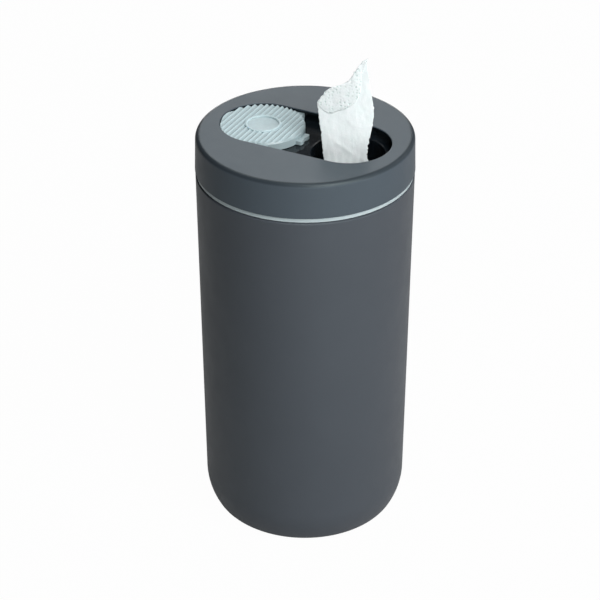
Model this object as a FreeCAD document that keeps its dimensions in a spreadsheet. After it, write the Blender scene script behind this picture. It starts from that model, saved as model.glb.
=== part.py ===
import FreeCAD, Part
import math
import os

import Sketcher

# A tabletop dispenser for wet tissues: a round outer shell, a lift-out liner that holds the roll,
# and a lid whose ribbed cap slides along a slot to cover or clear the outlet.
# Millimetres. The origin is the middle of the foot, +Z is up, and +X runs along the slot
# from the parked cap to the outlet.

SIZES = (
    # the outside
    ("total_height", 221.4, "table to the lid's flat top"),
    ("lid_height", 18.8, "the lid's outer skirt"),
    ("lid_radius", 55.65, "the lid just under its rounded rim"),
    ("lid_draft", 0.5, "how much the lid widens down to its lower edge"),
    ("lid_rim_round", 2.4, "rounding of the lid's rim"),
    ("band_height", 2.3, "the pale band of the liner that shows under the lid"),
    ("band_inset", 0.65, "how far the band lies inside the lid's lower edge"),
    ("band_groove", 0.5, "shadow gap between the band and the shell"),
    # the outer shell
    ("shell_inset", 0.2, "how far the shell's top lies inside the lid's lower edge"),
    ("shell_taper", 2.5, "how much the shell narrows down to its foot"),
    ("shell_wall", 2.2, "wall of the outer shell"),
    ("shell_lip_round", 0.9, "rounding of the shell's top edge"),
    ("foot_rise", 19.3, "height of the rounded foot"),
    ("foot_inset", 11.0, "how far the foot rounds in"),
    ("foot_corner", 8.0, "radius where the foot meets the base"),
    ("pad_radius", 38.0, "non-slip pad under the base"),
    ("pad_thickness", 1.5, "non-slip pad, from face to face"),
    ("pad_proud", 0.5, "how far the pad stands below the shell"),
    ("pad_gap", 0.2, "gap round the pad in its recess"),
    ("pad_groove_count", 3, "ring grooves in the pad's lower face"),
    ("pad_groove_width", 1.6, "width of one ring groove"),
    ("pad_groove_depth", 0.5, "depth of one ring groove"),
    # the liner
    ("liner_gap", 1.0, "gap between the shell and the liner"),
    ("liner_wall", 1.4, "wall of the liner"),
    ("seat_overlap", 0.8, "width of the shell's top that the liner's flange rests on"),
    ("neck_height", 9.0, "collar of the liner inside the lid"),
    ("neck_gap", 0.6, "gap between the collar and the lid's skirt"),
    # the lid
    ("lid_skirt", 2.0, "wall of the lid's skirt"),
    ("lid_plate", 1.6, "thickness of the lid's top, and of the lip round the slot"),
    ("seal_rib", 1.7, "wall of the ring that presses the lid's seal"),
    ("seal_height", 1.8, "thickness of the lid's seal"),
    ("slot_radius", 22.0, "half width of the slot"),
    ("slot_edge_round", 0.4, "rounding of the slot's upper edge"),
    ("boss_x", 18.0, "screw boss, distance along the slot"),
    ("boss_y", 36.0, "screw boss, distance across the slot"),
    ("boss_radius", 3.2, "outside of a screw boss"),
    ("boss_bore", 1.3, "pilot hole in a screw boss"),
    # the deck under the slot
    ("well_depth", 5.6, "lid's top to the floor that the cap slides on"),
    ("deck_floor", 1.5, "thickness of the deck"),
    ("deck_gap", 0.4, "gap between the deck and the lid's seal ring"),
    ("well_wall", 1.4, "upright wall round the well"),
    ("well_corner", 3.0, "corner radius of the well under the lip"),
    ("well_end_gap", 0.9, "gap past the cap's tab when it is shut"),
    ("hole_inset", 3.4, "how far the outlet's rim lies inside the slot"),
    ("hole_round", 0.7, "rounding of the outlet's rim"),
    ("throat_length", 10.5, "outlet tube below the deck"),
    ("throat_wall", 1.5, "wall of the outlet tube"),
    # the sliding cap
    ("cap_gap", 0.3, "gap between the cap and the slot"),
    ("cap_drop", 0.25, "how far the cap's ribs lie below the lid's top"),
    ("cap_lift", 0.3, "gap between the cap and the floor"),
    ("cap_top", 1.25, "material left under the cap's grooves"),
    ("cap_rim", 2.7, "wall of the cap's rim"),
    ("rib_pitch", 2.72, "distance between two ribs of the cap"),
    ("rib_depth", 1.1, "height of a rib"),
    ("rib_crest", 0.3, "flat left on a rib's crest"),
    ("ring_radius", 9.3, "outside of the finger ring"),
    ("ring_width", 1.4, "width of the ring's bead"),
    ("ring_rise", 0.2, "how far the bead stands above the ribs"),
    ("dish_edge", 0.6, "depth of the finger dish at the bead"),
    ("dish_depth", 0.4, "how much deeper the dish is in its middle"),
    ("flank_width", 1.8, "how far in the cap's front flank is rounded off"),
    ("flank_depth", 1.3, "how far down that flank is rounded off"),
    ("wing_length", 24.6, "guide wings, along the slot"),
    ("wing_overlap", 0.9, "how far the wings reach under the slot's lip"),
    ("wing_gap", 0.3, "gap between the wings and the lip above them"),
    ("wing_side_gap", 0.4, "gap between the wings and the well's wall"),
    ("wing_height", 2.5, "thickness of the wings"),
    ("tab_reach", 2.8, "how far the front tab stands out of the cap"),
    ("tab_width", 9.6, "width of the tab"),
    ("tab_height", 2.0, "thickness of the tab"),
    ("tab_corner", 1.2, "corner radius of the tab"),
    ("tab_notch", 2.6, "radius of the hollow in the tab's tip"),
    ("tab_notch_depth", 0.65, "how far that hollow goes in"),
    ("cap_seal_width", 1.3, "soft ring under the cap"),
    ("cap_seal_height", 1.2, "height of that ring"),
    ("cap_seal_gap", 0.15, "gap between that ring and the floor"),
    # the gripper in the outlet
    ("gripper_thickness", 1.4, "soft star disc that holds the tissue"),
    ("gripper_slit_count", 3, "slits across its middle"),
    ("gripper_slit", 0.8, "width of its slits"),
    ("gripper_slit_length", 24.0, "its slits, from tip to tip"),
    ("gripper_mouth_length", 15.0, "opening in its middle"),
    ("gripper_mouth_width", 5.0, "width of that opening"),
    ("retainer_wall", 1.6, "wall of the ring that holds the star disc"),
    ("retainer_height", 6.0, "how far that ring climbs round the outlet tube"),
    ("retainer_ledge", 6.0, "how far it reaches in under the star disc"),
    ("retainer_gap", 0.2, "gap between that ring and the outlet tube"),
    # the screws
    ("screw_radius", 1.2, "shank of a screw"),
    ("screw_length", 4.8, "shank of a screw"),
    ("screw_head_radius", 2.5, "head of a screw"),
    ("screw_head_height", 1.6, "head of a screw"),
    ("screw_recess", 1.0, "size of the six-sided drive in the head"),
    # the tissues
    ("roll_clearance", 5.0, "gap between the roll and the liner's wall at the foot"),
    ("roll_height", 165.0, "height of the roll of tissues"),
    ("roll_core", 12.0, "radius of the hollow that the tissue is pulled from"),
    ("roll_edge", 4.0, "slope that takes off the roll's outer edges"),
    ("tail_depth", 48.0, "how far down the roll's hollow the pulled tissue starts"),
    ("tail_length", 12.0, "loose bunch of tissue in the roll's hollow, the longer way"),
    ("tail_width", 9.6, "that bunch, the shorter way"),
    ("wipe_angle", 25.6, "degrees that the standing tissue is turned from the slot"),
    ("wipe_height", 46.2, "tip of the tissue above the lid's top"),
    ("wipe_width", 27.6, "standing tissue where it is widest"),
    ("wipe_slack", 0.55, "gap round the folded tissue in the gripper's mouth"),
    ("wipe_thickness", 1.1, "folded plies of the tissue together"),
)

os.makedirs("parts", exist_ok=True)
doc = FreeCAD.newDocument("TissueDispenser")


class Size:
    """A length that carries its value and the sheet formula that gives it."""

    def __init__(self, value, formula):
        self.value = float(value)
        self.formula = formula

    def __add__(self, other):
        other = as_size(other)
        return Size(self.value + other.value, f"({self.formula} + {other.formula})")

    def __sub__(self, other):
        other = as_size(other)
        return Size(self.value - other.value, f"({self.formula} - {other.formula})")

    def __mul__(self, factor):
        factor = as_size(factor)
        return Size(self.value * factor.value, f"({self.formula} * {factor.formula})")

    def __truediv__(self, divisor):
        divisor = as_size(divisor)
        return Size(self.value / divisor.value, f"({self.formula} / {divisor.formula})")

    def __neg__(self):
        return Size(-self.value, f"(0 - {self.formula})")


def as_size(number):
    return number if isinstance(number, Size) else Size(number, str(number))


class Sheet:
    """The spreadsheet of driving sizes, with each alias as an attribute."""

    def __init__(self, rows):
        table = doc.addObject("Spreadsheet::Sheet", "Sizes")
        for line, (alias, value, meaning) in enumerate(rows, start=1):
            table.set(f"A{line}", meaning)
            table.set(f"B{line}", str(value))
            table.setAlias(f"B{line}", alias)
        doc.recompute()
        for alias, _value, _meaning in rows:
            setattr(self, alias, Size(getattr(table, alias), f"Sizes.{alias}"))


sizes = Sheet(SIZES)
ZERO = Size(0, "0")

# levels, from the top down and from the foot up
lid_top = sizes.total_height
lid_bottom = lid_top - sizes.lid_height
band_bottom = lid_bottom - sizes.band_height
shell_top = band_bottom - sizes.band_groove
plate_under = lid_top - sizes.lid_plate
floor_top = lid_top - sizes.well_depth
floor_under = floor_top - sizes.deck_floor
neck_top = lid_bottom + sizes.neck_height
seal_top = neck_top + sizes.seal_height
throat_end = floor_under - sizes.throat_length
gripper_under = throat_end - sizes.gripper_thickness
retainer_under = gripper_under - sizes.retainer_wall
shell_base = sizes.pad_proud
foot_top = shell_base + sizes.foot_rise
liner_offset = sizes.shell_wall + sizes.liner_gap
liner_floor = shell_base + liner_offset + sizes.liner_wall
roll_top = liner_floor + sizes.roll_height

# radii about the dispenser's axis
lid_skirt_radius = sizes.lid_radius + sizes.lid_draft
band_radius = lid_skirt_radius - sizes.band_inset
shell_top_radius = lid_skirt_radius - sizes.shell_inset
shell_foot_radius = shell_top_radius - sizes.shell_taper
liner_inner_radius = shell_top_radius - liner_offset - sizes.liner_wall
seat_radius = shell_top_radius - sizes.shell_wall + sizes.seat_overlap
neck_radius = sizes.lid_radius - sizes.lid_skirt - sizes.neck_gap
seal_rib_inner = neck_radius - sizes.seal_rib
deck_radius = seal_rib_inner - sizes.deck_gap

# the slot, its cap and the outlet
cap_radius = sizes.slot_radius - sizes.cap_gap
well_reach = deck_radius - sizes.well_wall
slot_reach = well_reach - sizes.well_end_gap - sizes.tab_reach - cap_radius
wing_reach = sizes.slot_radius + sizes.wing_overlap
well_half_width = wing_reach + sizes.wing_side_gap
hole_radius = sizes.slot_radius - sizes.hole_inset
throat_radius = hole_radius + sizes.throat_wall
cap_under = floor_top + sizes.cap_lift
crest_level = lid_top - sizes.cap_drop
valley_level = crest_level - sizes.rib_depth
cap_ceiling = valley_level - sizes.cap_top
cap_hollow = cap_radius - sizes.cap_rim


def origin_plane(body, role):
    """One of the body's own origin planes."""
    for feature in body.Origin.OriginFeatures:
        if feature.Role == role:
            return feature
    raise ValueError(f"{body.Label} has no {role}")


def new_body(label):
    body = doc.addObject("PartDesign::Body", label)
    body.Label = label
    return body


def new_sketch(body, name, role="XY_Plane", level=None):
    """A sketch on one of the body's planes, raised to a level if one is given."""
    sketch = body.newObject("Sketcher::SketchObject", name)
    sketch.AttachmentSupport = [(origin_plane(body, role), "")]
    sketch.MapMode = "FlatFace"
    if level is not None:
        sketch.AttachmentOffset = FreeCAD.Placement(
            FreeCAD.Vector(0, 0, level.value), FreeCAD.Rotation()
        )
        sketch.setExpression("AttachmentOffset.Base.z", level.formula)
    return sketch


def measure(sketch, kind, refs, size):
    """A driving dimension of the sketch, bound to the sheet."""
    index = sketch.addConstraint(Sketcher.Constraint(kind, *refs, size.value))
    sketch.setExpression(f"Constraints[{index}]", size.formula)


def pin(sketch, edge, end, x, y):
    """Holds one point of the sketch at x and y."""
    for kind, axis, size in (("DistanceX", -2, x), ("DistanceY", -1, y)):
        if size is None:
            continue
        if size.formula == ZERO.formula:
            sketch.addConstraint(Sketcher.Constraint("PointOnObject", edge, end, axis))
        elif size.value < 0:
            measure(sketch, kind, (edge, end, -1, 1), -size)
        else:
            measure(sketch, kind, (-1, 1, edge, end), size)


def vector(x, y):
    return FreeCAD.Vector(x, y, 0)


def polygon(sketch, points, rounded=None, radius=None):
    """A closed outline, anticlockwise, pinned at each corner; one corner may be an arc."""
    starts = [vector(x.value, y.value) for x, y in points]
    ends = starts[1:] + starts[:1]
    if rounded is not None:
        corner = starts[rounded]
        back = (starts[rounded - 1] - corner).normalize()
        ahead = (ends[rounded] - corner).normalize()
        half_angle = back.getAngle(ahead) / 2
        setback = radius.value / math.tan(half_angle)
        middle = corner + (back + ahead).normalize() * (radius.value / math.sin(half_angle))
        ends[rounded - 1] = corner + back * setback
        starts[rounded] = corner + ahead * setback
    for start, end in zip(starts, ends):
        sketch.addGeometry(Part.LineSegment(start, end))
    for i, (x, y) in enumerate(points):
        before = (i - 1) % len(points)
        if i != rounded:
            sketch.addConstraint(Sketcher.Constraint("Coincident", before, 2, i, 1))
            pin(sketch, i, 1, x, y)
            continue
        sweep = [math.degrees(math.atan2(end.y - middle.y, end.x - middle.x))
                 for end in (ends[before], starts[i])]
        edge = sketch.addGeometry(arc(middle.x, middle.y, radius.value, *sweep))
        sketch.addConstraint(Sketcher.Constraint("Tangent", before, 2, edge, 1))
        sketch.addConstraint(Sketcher.Constraint("Tangent", edge, 2, i, 1))
        measure(sketch, "Radius", (edge,), radius)
        sharp = sketch.addGeometry(Part.Point(corner), True)
        pin(sketch, sharp, 1, x, y)
        for line in (before, i):
            sketch.addConstraint(Sketcher.Constraint("PointOnObject", sharp, 1, line))


def circle(sketch, x, y, radius):
    centre = vector(x.value, y.value)
    edge = sketch.addGeometry(Part.Circle(centre, vector_up(), radius.value))
    pin(sketch, edge, 3, x, y)
    measure(sketch, "Radius", (edge,), radius)


def vector_up():
    return FreeCAD.Vector(0, 0, 1)


def arc(centre_x, centre_y, radius, start, end):
    """An arc from start to end, in degrees, anticlockwise."""
    round_line = Part.Circle(vector(centre_x, centre_y), vector_up(), radius)
    return Part.ArcOfCircle(round_line, math.radians(start), math.radians(end))


def stadium(sketch, reach, radius):
    """Two half circles joined by straight sides, along X."""
    c, r = reach.value, radius.value
    lower = sketch.addGeometry(Part.LineSegment(vector(-c, -r), vector(c, -r)))
    right = sketch.addGeometry(arc(c, 0, r, -90, 90))
    upper = sketch.addGeometry(Part.LineSegment(vector(c, r), vector(-c, r)))
    left = sketch.addGeometry(arc(-c, 0, r, 90, 270))
    for a, a_end, b, b_end in (
        (lower, 2, right, 1), (right, 2, upper, 1), (upper, 2, left, 1), (left, 2, lower, 1)
    ):
        sketch.addConstraint(Sketcher.Constraint("Tangent", a, a_end, b, b_end))
    pin(sketch, right, 3, reach, ZERO)
    sketch.addConstraint(Sketcher.Constraint("Symmetric", right, 3, left, 3, -2))
    sketch.addConstraint(Sketcher.Constraint("Equal", right, left))
    measure(sketch, "Radius", (right,), radius)


def barrel(sketch, radius, half_width):
    """Two straight sides along X, with ends that are arcs about the middle of the sketch."""
    r, side = radius.value, half_width.value
    reach = math.sqrt(r**2 - side**2)
    turn = math.degrees(math.asin(side / r))
    lower = sketch.addGeometry(Part.LineSegment(vector(-reach, -side), vector(reach, -side)))
    right = sketch.addGeometry(arc(0, 0, r, -turn, turn))
    upper = sketch.addGeometry(Part.LineSegment(vector(reach, side), vector(-reach, side)))
    left = sketch.addGeometry(arc(0, 0, r, 180 - turn, 180 + turn))
    for edge, following in ((lower, right), (right, upper), (upper, left), (left, lower)):
        sketch.addConstraint(Sketcher.Constraint("Coincident", edge, 2, following, 1))
    for edge in (left, right):
        sketch.addConstraint(Sketcher.Constraint("Coincident", edge, 3, -1, 1))
    for edge in (lower, upper):
        sketch.addConstraint(Sketcher.Constraint("Horizontal", edge))
    sketch.addConstraint(Sketcher.Constraint("Equal", right, left))
    measure(sketch, "Radius", (right,), radius)
    pin(sketch, lower, 1, None, -half_width)
    pin(sketch, upper, 1, None, half_width)


def four_circles(sketch, x, y, radius):
    """Equal circles at plus and minus x and y."""
    circle(sketch, x, y, radius)
    for mirror_x, mirror_y, source, axis in ((-1, 1, 0, -2), (1, -1, 0, -1), (-1, -1, 1, -1)):
        centre = vector(mirror_x * x.value, mirror_y * y.value)
        edge = sketch.addGeometry(Part.Circle(centre, vector_up(), radius.value))
        sketch.addConstraint(Sketcher.Constraint("Symmetric", source, 3, edge, 3, axis))
        sketch.addConstraint(Sketcher.Constraint("Equal", 0, edge))


def revolve(body, name, sketch):
    feature = body.newObject("PartDesign::Revolution", name)
    feature.Profile = sketch
    feature.ReferenceAxis = (sketch, ["V_Axis"])
    feature.Angle = 360
    doc.recompute()
    return feature


def pad(body, name, sketch, length, down=False):
    feature = body.newObject("PartDesign::Pad", name)
    feature.Profile = sketch
    feature.Length = length.value
    feature.setExpression("Length", length.formula)
    feature.Reversed = down
    doc.recompute()
    return feature


def must_remove(body, feature):
    """Stops if a cut took nothing away."""
    doc.recompute()
    if feature.Shape.Volume >= feature.BaseFeature.Shape.Volume - 1e-6:
        raise ValueError(f"{feature.Name} of {body.Label} cuts nothing")
    return feature


def groove(body, name, sketch, sweep=None):
    """A turned cut: all round, or from the sketch by two angles in degrees, one each way."""
    feature = body.newObject("PartDesign::Groove", name)
    feature.Profile = sketch
    feature.ReferenceAxis = (sketch, ["V_Axis"])
    feature.Angle = 360
    if sweep:
        feature.Type = "TwoAngles"
        feature.Angle, feature.Angle2 = sweep
    return must_remove(body, feature)


def pocket(body, name, sketch, length, up=False, both_ways=False):
    feature = body.newObject("PartDesign::Pocket", name)
    feature.Profile = sketch
    feature.Length = length.value
    feature.setExpression("Length", length.formula)
    feature.Reversed = up
    if both_ways:
        feature.Midplane = True
    return must_remove(body, feature)


def round_edges(body, name, base, wanted, radius):
    """A fillet on each edge of the base feature that wanted() picks."""
    edges = [f"Edge{i}" for i, edge in enumerate(base.Shape.Edges, start=1) if wanted(edge)]
    if not edges:
        raise ValueError(f"{name} of {body.Label} finds no edge")
    feature = body.newObject("PartDesign::Fillet", name)
    feature.Base = (base, edges)
    feature.Radius = radius.value
    feature.setExpression("Radius", radius.formula)
    doc.recompute()
    return feature


NEAR = 0.01


def at_level(edge, level):
    """True for an edge that lies flat at this height."""
    box = edge.BoundBox
    return abs(box.ZMin - level.value) < NEAR and abs(box.ZMax - level.value) < NEAR


def upright(edge, bottom, top):
    """True for an upright edge between two levels."""
    box = edge.BoundBox
    spans = abs(box.ZMin - bottom.value) < NEAR and abs(box.ZMax - top.value) < NEAR
    return spans and box.XLength < NEAR and box.YLength < NEAR


def inside_well(edge):
    """True for an edge on the straight sides of the well."""
    return abs(abs(edge.BoundBox.Center.y) - well_half_width.value) < NEAR


def round_of(edge, radius):
    """True for a circle or arc of this radius."""
    return hasattr(edge.Curve, "Radius") and abs(edge.Curve.Radius - radius.value) < NEAR


def vessel_profile(sketch, inward, top):
    """Half section of a tub with a rounded foot, lying inward of the shell's outside.

    The foot is a large arc tangent to the wall and a small one tangent to the base.
    """
    base = shell_base + inward
    wall_top = shell_top_radius - inward
    wall_foot = shell_foot_radius - inward
    inset = sizes.foot_inset - inward
    corner = sizes.foot_corner - inward
    flat = wall_foot - inset
    drop = foot_top.value - base.value - corner.value
    sweep = (inset.value**2 + drop**2 - corner.value**2) / (2 * (inset.value - corner.value))
    turn = -math.degrees(math.asin(drop / (sweep - corner.value)))
    axis = sketch.addGeometry(Part.LineSegment(vector(0, base.value), vector(0, top.value)))
    lid_line = sketch.addGeometry(
        Part.LineSegment(vector(0, top.value), vector(wall_top.value, top.value))
    )
    wall = sketch.addGeometry(
        Part.LineSegment(
            vector(wall_top.value, top.value), vector(wall_foot.value, foot_top.value)
        )
    )
    upper = sketch.addGeometry(
        arc(wall_foot.value - sweep, foot_top.value, sweep, turn, 0)
    )
    lower = sketch.addGeometry(
        arc(flat.value, base.value + corner.value, corner.value, -90, turn)
    )
    bottom = sketch.addGeometry(Part.LineSegment(vector(flat.value, base.value), vector(0, base.value)))
    for a, a_end, b, b_end in (
        (axis, 2, lid_line, 1), (lid_line, 2, wall, 1), (bottom, 2, axis, 1)
    ):
        sketch.addConstraint(Sketcher.Constraint("Coincident", a, a_end, b, b_end))
    for a, a_end, b, b_end in ((wall, 2, upper, 2), (upper, 1, lower, 2), (lower, 1, bottom, 1)):
        sketch.addConstraint(Sketcher.Constraint("Tangent", a, a_end, b, b_end))
    for edge in (lid_line, bottom):
        sketch.addConstraint(Sketcher.Constraint("Horizontal", edge))
    pin(sketch, axis, 1, ZERO, base)
    pin(sketch, axis, 2, ZERO, top)
    pin(sketch, lid_line, 2, wall_top, None)
    pin(sketch, wall, 2, wall_foot, foot_top)
    pin(sketch, lower, 1, flat, None)
    measure(sketch, "Radius", (lower,), corner)


def make_outer_shell():
    """The tapered can with its rounded foot and the recess for the pad."""
    body = new_body("outer_shell")
    outside = new_sketch(body, "ShellOutside", "XZ_Plane")
    vessel_profile(outside, ZERO, shell_top)
    revolve(body, "ShellSolid", outside)
    inside = new_sketch(body, "ShellInside", "XZ_Plane")
    vessel_profile(inside, sizes.shell_wall, shell_top)
    groove(body, "ShellHollow", inside)
    recess = new_sketch(body, "PadRecess", "XZ_Plane")
    recess_radius = sizes.pad_radius + sizes.pad_gap
    polygon(
        recess,
        (
            (ZERO, shell_base),
            (recess_radius, shell_base),
            (recess_radius, sizes.pad_thickness),
            (ZERO, sizes.pad_thickness),
        ),
    )
    cut = groove(body, "PadRecessCut", recess)
    round_edges(
        body,
        "ShellLip",
        cut,
        lambda edge: at_level(edge, shell_top) and round_of(edge, shell_top_radius),
        sizes.shell_lip_round,
    )
    return body


def make_base_pad():
    """The non-slip disc, with ring grooves in its lower face."""
    body = new_body("base_pad")
    outline = new_sketch(body, "PadOutline")
    circle(outline, ZERO, ZERO, sizes.pad_radius)
    pad(body, "PadDisc", outline, sizes.pad_thickness)
    count = int(sizes.pad_groove_count.value)
    for ring in range(count):
        outer = sizes.pad_radius * (ring + 1) / (count + 1)
        inner = outer - sizes.pad_groove_width
        rings = new_sketch(body, f"PadGroove{ring}")
        circle(rings, ZERO, ZERO, outer)
        circle(rings, ZERO, ZERO, inner)
        pocket(body, f"PadGrooveCut{ring}", rings, sizes.pad_groove_depth, up=True)
    return body


def make_inner_liner():
    """The lift-out tub: thin wall, the flange that shows as a band, and the collar."""
    body = new_body("inner_liner")
    outside = new_sketch(body, "LinerOutside", "XZ_Plane")
    vessel_profile(outside, liner_offset, shell_top)
    revolve(body, "LinerSolid", outside)
    collar = new_sketch(body, "LinerCollar", "XZ_Plane")
    polygon(
        collar,
        (
            (ZERO, shell_top),
            (seat_radius, shell_top),
            (seat_radius, band_bottom),
            (band_radius, band_bottom),
            (band_radius, lid_bottom),
            (neck_radius, lid_bottom),
            (neck_radius, neck_top),
            (ZERO, neck_top),
        ),
    )
    revolve(body, "LinerCollarSolid", collar)
    inside = new_sketch(body, "LinerInside", "XZ_Plane")
    vessel_profile(inside, liner_offset + sizes.liner_wall, shell_top)
    groove(body, "LinerHollow", inside)
    bore = new_sketch(body, "LinerBore", "XZ_Plane")
    polygon(
        bore,
        (
            (ZERO, shell_top),
            (liner_inner_radius, shell_top),
            (liner_inner_radius, neck_top),
            (ZERO, neck_top),
        ),
    )
    groove(body, "LinerMouth", bore)
    return body


def make_lid_seal():
    """The soft ring between the liner's collar and the lid."""
    body = new_body("lid_seal")
    ring = new_sketch(body, "SealSection", "XZ_Plane")
    polygon(
        ring,
        (
            (seal_rib_inner, neck_top),
            (neck_radius, neck_top),
            (neck_radius, seal_top),
            (seal_rib_inner, seal_top),
        ),
    )
    revolve(body, "SealRing", ring)
    return body


def make_lid_shell():
    """The lid's outside: flat top with the slot, rounded rim, skirt, seal ring and bosses."""
    body = new_body("lid_shell")
    section = new_sketch(body, "LidSection", "XZ_Plane")
    polygon(
        section,
        (
            (ZERO, plate_under),
            (seal_rib_inner, plate_under),
            (seal_rib_inner, seal_top),
            (neck_radius, seal_top),
            (neck_radius, plate_under),
            (sizes.lid_radius - sizes.lid_skirt, plate_under),
            (lid_skirt_radius - sizes.lid_skirt, lid_bottom),
            (lid_skirt_radius, lid_bottom),
            (sizes.lid_radius, lid_top),
            (ZERO, lid_top),
        ),
        rounded=8,
        radius=sizes.lid_rim_round,
    )
    revolve(body, "LidTurned", section)
    slot = new_sketch(body, "SlotOutline", level=lid_top)
    stadium(slot, slot_reach, sizes.slot_radius)
    opened = pocket(body, "Slot", slot, sizes.lid_plate)
    far = slot_reach.value + sizes.slot_radius.value + NEAR
    round_edges(
        body,
        "SlotEdge",
        opened,
        lambda edge: at_level(edge, lid_top) and edge.BoundBox.XMax < far and edge.BoundBox.XMin > -far,
        sizes.slot_edge_round,
    )
    bosses = new_sketch(body, "BossOutline", level=floor_top)
    four_circles(bosses, sizes.boss_x, sizes.boss_y, sizes.boss_radius)
    pad(body, "Bosses", bosses, plate_under - floor_top)
    bores = new_sketch(body, "BossBores", level=floor_top)
    four_circles(bores, sizes.boss_x, sizes.boss_y, sizes.boss_bore)
    pocket(body, "BossBoresCut", bores, plate_under - floor_top, up=True)
    return body


def make_lid_deck():
    """The dark insert under the slot: sliding floor, well wall, outlet and its tube."""
    body = new_body("lid_deck")
    disc = new_sketch(body, "DeckDisc", level=floor_under)
    circle(disc, ZERO, ZERO, deck_radius)
    pad(body, "Deck", disc, sizes.deck_floor)
    wall = new_sketch(body, "WellOutside", level=floor_top)
    barrel(wall, deck_radius, well_half_width + sizes.well_wall)
    block = pad(body, "WellBlock", wall, plate_under - floor_top)
    round_edges(
        body,
        "WellOuterCorners",
        block,
        lambda edge: upright(edge, floor_top, plate_under),
        sizes.well_corner + sizes.well_wall,
    )
    well = new_sketch(body, "WellInside", level=plate_under)
    barrel(well, well_reach, well_half_width)
    sunk = pocket(body, "Well", well, plate_under - floor_top)
    round_edges(
        body,
        "WellInnerCorners",
        sunk,
        lambda edge: upright(edge, floor_top, plate_under) and inside_well(edge),
        sizes.well_corner,
    )
    tube = new_sketch(body, "ThroatOutside", level=floor_under)
    circle(tube, slot_reach, ZERO, throat_radius)
    pad(body, "Throat", tube, sizes.throat_length, down=True)
    hole = new_sketch(body, "OutletOutline", level=floor_top)
    circle(hole, slot_reach, ZERO, hole_radius)
    outlet = pocket(body, "Outlet", hole, floor_top - throat_end)
    round_edges(
        body,
        "OutletRim",
        outlet,
        lambda edge: at_level(edge, floor_top) and round_of(edge, hole_radius),
        sizes.hole_round,
    )
    screw_holes = new_sketch(body, "ScrewHoles", level=floor_top)
    four_circles(screw_holes, sizes.boss_x, sizes.boss_y, sizes.boss_bore)
    pocket(body, "ScrewHolesCut", screw_holes, sizes.deck_floor)
    return body


# degrees about the cap's axis that its rounded flank spans, from the tab to the back and from
# the tab to the front
FLANK_SWEEP = (40, 80)


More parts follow.
